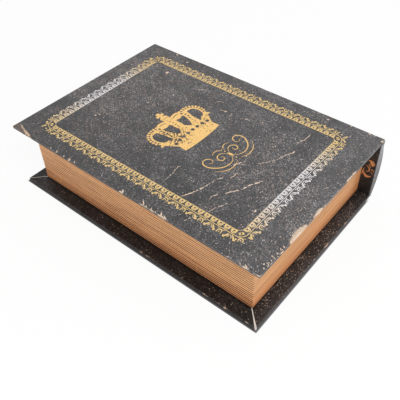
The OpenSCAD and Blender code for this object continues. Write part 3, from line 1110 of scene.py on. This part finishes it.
# %% Flourish
SWASH = [
    (1.2, -2.2), (5.5, -6.2), (12.5, -7.0), (19.6, -3.4), (24.4, 3.2), (24.6, 9.2), (20.8, 12.4),
    (16.6, 10.6), (15.9, 6.6), (18.6, 4.8), (20.9, 6.6),
]
UNDER_SWASH = [(2.6, -9.2), (10.0, -11.6), (18.6, -9.8), (25.6, -3.4)]
CURL = [(1.0, 2.0), (4.4, 6.4), (9.2, 7.0), (11.9, 3.6), (10.4, 0.3), (7.4, 0.6), (6.9, 3.0), (8.3, 3.9)]
OVER_CURL = [(1.0, 8.4), (3.6, 11.4), (7.6, 12.2), (11.2, 10.6)]
LOZENGE = [(0, -3.6), (1.5, 0), (0, 3.6), (-1.5, 0)]


def flourish():
    foil = Foil()
    strokes(foil, 6, (SWASH, 0.28, 1.0, 0.35, 0.046), (UNDER_SWASH, 0.22, 0.7, 0.5, 0.038))
    strokes(foil, 5, (CURL, 0.26, 0.85, 0.4, 0.042), (OVER_CURL, 0.22, 0.7, 0.4, 0.036))
    foil.plate([LOZENGE], high=0.05)
    for v, radius in ((6.2, 0.7), (-6.0, 0.7), (9.6, 0.45), (-9.6, 0.45)):
        foil.disc(0, v, radius, high=0.034)
    return foil.mesh("flourish", upright(42.5, -4.0), coronet_foil)


place_piece("flourish", flourish(), "lid")

# %% [markdown]
# The print imitates cracks in old leather: thin pale lines that wander, thicken and
# break. They are made like the foil, as ribbons with a ragged width, cut wherever a
# noise falls low. The noise has fixed places, so each run gives the same cracks. Short
# scratches come in from the fore-edge, and small nicks from the tail edge near the
# corner, no two of them alike.

# %% Printed cracks, nicks, scratches and flecks
LID_CRACKS = [
    ([(42.5, -68.5), (43.8, -66), (47.4, -58.8), (48.2, -55.6), (50.2, -48.4), (51.9, -42)], 1.0),
    ([(51.9, -42), (52.4, -36.4), (55.4, -30.5)], 0.9),
    ([(60.6, -28), (61, -22.9), (61.8, -16.5)], 0.75),
    ([(52.2, -14.9), (54.6, -10.1), (58.2, -2.9)], 0.8),
    ([(54.6, -10.1), (58.2, -8.4), (62.2, -6.5)], 0.45),
    ([(61.4, -56.4), (62.2, -54), (63.8, -47.6)], 0.6),
    ([(67.7, -45.6), (68.1, -42.8), (71.3, -38.8), (73.7, -35.6), (74.9, -34)], 0.85),
    ([(75.3, -33.3), (76.1, -30.9), (76.5, -26), (79.3, -21.3), (82.9, -14.1)], 1.15),
    ([(66.5, -1.2), (69.7, 2.8), (72.9, 6.8), (74.9, 10.8), (76.5, 13.2)], 0.65),
    ([(76.5, 13.2), (77.3, 16.4), (78.1, 19.2), (79.7, 23.6), (82.1, 29.1), (83.3, 33.5)], 0.85),
    ([(76.1, 33.1), (76.5, 35.9)], 0.6),
    ([(78.1, 41.9), (79.3, 45.9), (80.9, 49.9), (81.3, 58.7)], 0.8),
    ([(61.5, -85.3), (64, -80), (67.3, -74.5)], 0.7),
    ([(69.3, -68.3), (71.7, -61.2), (74.1, -55.6), (75.7, -50)], 0.6),
    ([(-4, 40), (4, 42)], 0.6),
    ([(-42, 53), (-36, 56), (-29, 59)], 0.5),
    ([(21, -61), (20, -51), (18, -43), (22, -40)], 0.5),
    ([(14, -48), (16, -42)], 0.4),
    ([(-15, 48), (-8, 52)], 0.4),
    ([(20, 42), (26, 44)], 0.5),
]
LID_FLECKS = [
    (-85, 57.5, 1.9), (-81.5, 85, 1.1), (-53.6, 32, 0.9), (-100, 90, 1.3), (74, 46, 0.6),
    (97, -44.7, 1.3), (41, 16, 0.7), (-88, -36, 0.9), (-86, -33, 0.7), (-64, 8, 0.8), (2, 41, 0.9),
    (54.2, 2, 0.8), (88, 68, 0.7), (108, -34, 0.8), (-30, -20, 0.6), (24, 43, 0.8), (82, 88, 1.0),
    (66.3, 27.2, 0.6), (63.1, 33.1, 0.6), (38.2, 47.9, 0.6), (133.6, 88, 1.1), (131, -82.4, 0.7),
    (121, 91.3, 1.0), (125.5, 91.8, 0.7), (103, 91.2, 0.8),
]
# short scratches in from the fore-edge: place at the edge, place where they end, reach, width
SCRATCHES = [
    (4.5, 2.0, 3.6, 1.3), (27, 22, 5.2, 0.9), (30, 28.5, 2.0, 0.6), (35, 33.5, 2.6, 0.9),
    (39.5, 38.5, 1.6, 0.8), (45, 42.5, 4.0, 1.3), (50, 46.5, 2.2, 1.0), (-52, -54, 2.6, 0.7),
    (-58, -60, 3.0, 0.8), (-65, -66.5, 2.0, 0.7), (-74, -76.5, 2.8, 0.8), (-82, -83.5, 2.2, 0.7),
    (124, 121, 2.6, 1.1), (118.5, 117.5, 1.5, 0.7),
]
NICKS, NICK_START, NICK_PITCH = 12, -85, 2.1
CRACK_STEP, THINNEST = 0.45, 0.12


def crack(foil, number, points, width):
    """A line that wanders and swells with a noise, and breaks where that is low."""
    corners = [Vector(p) for p in points]
    across = (corners[-1] - corners[0]).normalized()
    fine = []
    for a, b in zip(corners, corners[1:]):
        steps = max(2, int((b - a).length / CRACK_STEP))
        fine += [a.lerp(b, i / steps) for i in range(steps)]
    run, widths = [], []
    for i, p in enumerate(fine):
        here = Vector((p.x * 0.35, p.y * 0.35, number * 3.7))
        off = noise.noise(here) * 0.7 + noise.noise(here * 3.1) * 0.45
        swell = 0.72 + 1.2 * noise.noise(here * 2.3 + Vector((9, 4, 2)))
        wide = width * swell * min(1, 4 * min(i + 1, len(fine) - i) / len(fine) + 0.25)
        if wide > THINNEST:
            run.append((p.x - across.y * off, p.y + across.x * off))
            widths.append(wide)
        if wide <= THINNEST or i == len(fine) - 1:
            if len(run) > 2:
                foil.ribbon(run, widths, high=0.02 + 0.002 * (number % 5))
            run, widths = [], []


def nick(foil, number):
    here = Vector((number * 0.77, 4.1, 0.3))
    y = NICK_START + number * NICK_PITCH + noise.noise(here) * 3.0
    near = cover_x - 0.5 - 3.0 * abs(noise.noise(here * 2.3))
    far = near - 0.7 - 3.4 * abs(noise.noise(here * 1.7 + Vector((3, 1, 7))))
    slant = 0.9 + 2.4 * noise.noise(here * 3.1)
    wide = 0.6 + 1.0 * abs(noise.noise(here * 4.3))
    path = [(near, y), ((near + far) / 2, y + slant * 0.7), (far, y + slant)]
    foil.ribbon(path, [0.3, wide, 0.2], high=0.03)


def scratch(foil, edge, end, reach, width):
    bend = (edge * 0.6 + end * 0.4, reach * 0.5 - cover_y)
    path = smooth_path([(edge, 0.7 - cover_y), bend, (end, reach - cover_y)], 3)
    foil.ribbon(path, swelling(len(path), 0.25, width, 0.3), high=0.026)


def fleck(foil, number, x, y, radius):
    loop = []
    for u, v in circle(0, 0, 1, 12):
        reach = radius * (0.75 + 0.8 * noise.noise(Vector((u, v, number * 2.3))))
        loop.append((x + reach * u, y + 1.3 * reach * v))
    foil.plate([loop], high=0.018)


def old_marks():
    foil = Foil()
    for number, (points, width) in enumerate(LID_CRACKS):
        crack(foil, number, points, width)
    for number in range(NICKS):
        nick(foil, number)
    for places in SCRATCHES:
        scratch(foil, *places)
    for number, place in enumerate(LID_FLECKS):
        fleck(foil, number, *place)
    return foil


def crack_finish():
    w = Finish("Printed cracks", linear(206, 176, 152))
    fibres = w.noise(1.3, 3, 0.6)
    w.paint(w.step(fibres, 0.35, 0.65), linear(240, 220, 200))
    return w.close(0.6, (fibres, 0.4, 0.1))


place_piece("printed_cracks", old_marks().mesh("printed_cracks", on_lid, crack_finish()), "lid")

# %% [markdown]
# The spine's print turns in over both of its ends, and part of a copper scroll shows
# there. The same scroll, mirrored to all four sides, fills the panels of the spine's
# outside, between pairs of rules. To bend flat foil round the spine, the distance
# across becomes an angle on the spine's circle.

# %% Spine print
# each stroke: its points, how wide its tips and its belly are, and where the belly sits
SCROLL_STROKES = [
    ([(-2.4, 9.8), (0.2, 9.4), (2.0, 7.6), (2.6, 4.8)], 0.6, 4.2, 0.7),
    ([(3.0, -6.4), (1.0, -8.0), (-1.8, -8.2), (-4.0, -6.2), (-4.6, -3.8)], 0.5, 2.7, 0.5),
    ([(-3.6, 3.6), (-1.8, 2.8), (0.0, 1.0), (0.2, -1.4), (-1.2, -2.8), (-2.6, -2.0)], 0.3, 1.1, 0.4),
    ([(-1.6, 5.6), (0.2, 4.2), (1.2, 2.4)], 0.3, 0.8, 0.5),
    ([(1.4, 0.8), (3.1, 0.6), (4.6, -0.8)], 0.4, 1.2, 0.5),
    ([(1.8, -1.8), (3.2, -2.7), (4.4, -4.4)], 0.3, 0.9, 0.5),
    ([(-5.8, -9.0), (-5.6, -5.6), (-5.0, -1.6), (-4.2, 0.6)], 0.3, 0.8, 0.4),
]
END_SCROLL_X, END_SCROLL_Z = 129.2, 32.6
PANEL_EDGES, PANEL_MIDDLES = (-128, -78, -26, 26, 78, 128), (-103, -52, 0, 52, 103)
# each rule of a group: how far it is from the middle one, and its width
SPINE_RULES = ((-1.6, 0.9), (0, 0.35), (1.6, 0.9))


def scroll(foil, turn, high=0.04):
    """Two leaves round a broken curl, about 18 by 12; turn lays each point where it belongs."""
    for number, (points, tip, belly, at) in enumerate(SCROLL_STROKES):
        path = [turn(*p) for p in smooth_path(points, 5)]
        foil.ribbon(path, swelling(len(path), tip, belly, at), high=high + 0.002 * number)


def end_scroll(side):
    foil = Foil()
    scroll(foil, lambda u, v: (side * (END_SCROLL_X + u), END_SCROLL_Z + v))
    return foil.mesh("scroll", lambda u, v, h: (u, spine_inner_y - h, v), spine_foil)


def round_spine(x, across, level):
    angle, reach = across / SPINE_R, SPINE_R + level
    return (x, SPINE_Y + reach * math.cos(angle), SPINE_Z + reach * math.sin(angle))


def spine_panels():
    foil = Foil()
    for x in PANEL_EDGES:
        for shift, width in SPINE_RULES:
            foil.ribbon([(x + shift, across) for across in range(-24, 25, 2)], width)
    for x in PANEL_MIDDLES:
        for sx, sy in ((1, 1), (1, -1), (-1, 1), (-1, -1)):
            scroll(foil, lambda u, v: (x + sx * (8.0 + u), sy * (9.6 + v * 0.8)), 0.044)
        foil.disc(x, 0, 1.3, high=0.05)
    return foil.mesh("spine_print", round_spine, spine_foil)


place_piece("spine_scroll_tail", end_scroll(1), "case")
place_piece("spine_scroll_head", end_scroll(-1), "case")
place_piece("spine_print", spine_panels(), "case")

# %% [markdown]
# Between spine and lid the wrap hangs free, drawn in to a shallow groove. On the real
# box this strip folds tightly about the hinge line when the lid goes over, bending
# within a millimetre of it. Here it is one skin with a real thickness, swept along the
# spine.

# %% Hinge strip
# the skin's outer and inner face: across the box and up
HINGE_OUT = [
    (93.14, 58.6), (92.93, 59.2), (92.67, 59.8), (92.47, 60.4), (92.40, 61.0), (92.44, 61.6), (92.57, 62.2),
    (92.74, 62.7), (92.87, 63.0), (92.96, 63.25), (93.02, 63.45), (93.04, 63.7), (93.04, 64.0), (93.03, 64.6),
]
HINGE_IN = [
    (92.90, 58.6), (92.70, 59.2), (92.44, 59.8), (92.24, 60.4), (92.17, 61.0), (92.20, 61.6), (92.32, 62.2),
    (92.49, 62.7), (92.61, 63.0), (92.69, 63.25), (92.74, 63.42), (93.005, 63.55), (93.005, 64.0),
    (93.005, 64.6),
]
HINGE_STEPS = 60


def spread(low, high, steps):
    return [low + (high - low) * i / steps for i in range(steps + 1)]


def skin(name, sections, finish):
    """Each section runs out along one face of the skin and back along the other."""
    points = [p for section in sections for p in section]
    mesh = closed_mesh(name, points, swept(len(sections), len(sections[0])), finish)
    mesh.shade_smooth()
    return mesh


def hinge_strip():
    section = HINGE_OUT + HINGE_IN[::-1]
    sections = [[(x, y, z) for y, z in section] for x in spread(-cover_x, cover_x, HINGE_STEPS)]
    return new_object("hinge_strip", skin("hinge_strip", sections, spine_cloth))


strip = hinge_strip()
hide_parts("hinge_cloth")
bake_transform(strip)
print(f"hinge strip: {len(strip.data.polygons)} faces")

# %% [markdown]
# Felt covers the tray's floor. A felt sheet is never quite flat: its face is moved by
# a slow noise and a finer one, and it dips a little towards the walls, where it was
# pressed into the corners.

# %% Felt
FELT_STEPS_X, FELT_STEPS_Y = 150, 100
FELT_DIP, DIP_REACH = 0.22, 1.2


def felt_top(x, y, low, high):
    edge = min(x - low.x, high.x - x, y - low.y, high.y - y)
    slow = noise.noise(Vector((x * 0.05, y * 0.05, 1))) + 0.7
    fine = abs(noise.noise(Vector((x * 0.9, y * 0.9, 5))))
    return high.z - FELT_DIP * math.exp(-edge / DIP_REACH) - 0.10 * slow - 0.06 * fine


def felt_sheet(finish):
    low, high = box_of("floor_lining")
    ys = spread(low.y, high.y, FELT_STEPS_Y)
    sections = []
    for x in spread(low.x, high.x, FELT_STEPS_X):
        top = [(x, y, felt_top(x, y, low, high)) for y in ys]
        sections.append(top + [(x, y, low.z) for y in reversed(ys)])
    return skin("felt", sections, finish)


def felt_finish():
    w = Finish("Felt", linear(26, 24, 25))
    moved = w.vector("ADD", w.place, w.noise(0.8, 2, 0.5, output="Color"))
    fibres = w.noise(3.0, 4, 0.75, moved)
    w.paint(w.step(fibres, 0.35, 0.68), linear(58, 54, 55))
    w.paint(w.noise(0.12, 3, 0.6) * 0.4, linear(44, 40, 40))
    return w.close(0.95, (fibres, 0.7, 0.2), {"Sheen Weight": 0.35, "Sheen Roughness": 0.5})


felt = place_piece("felt", felt_sheet(felt_finish()), "case")
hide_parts("floor_lining")
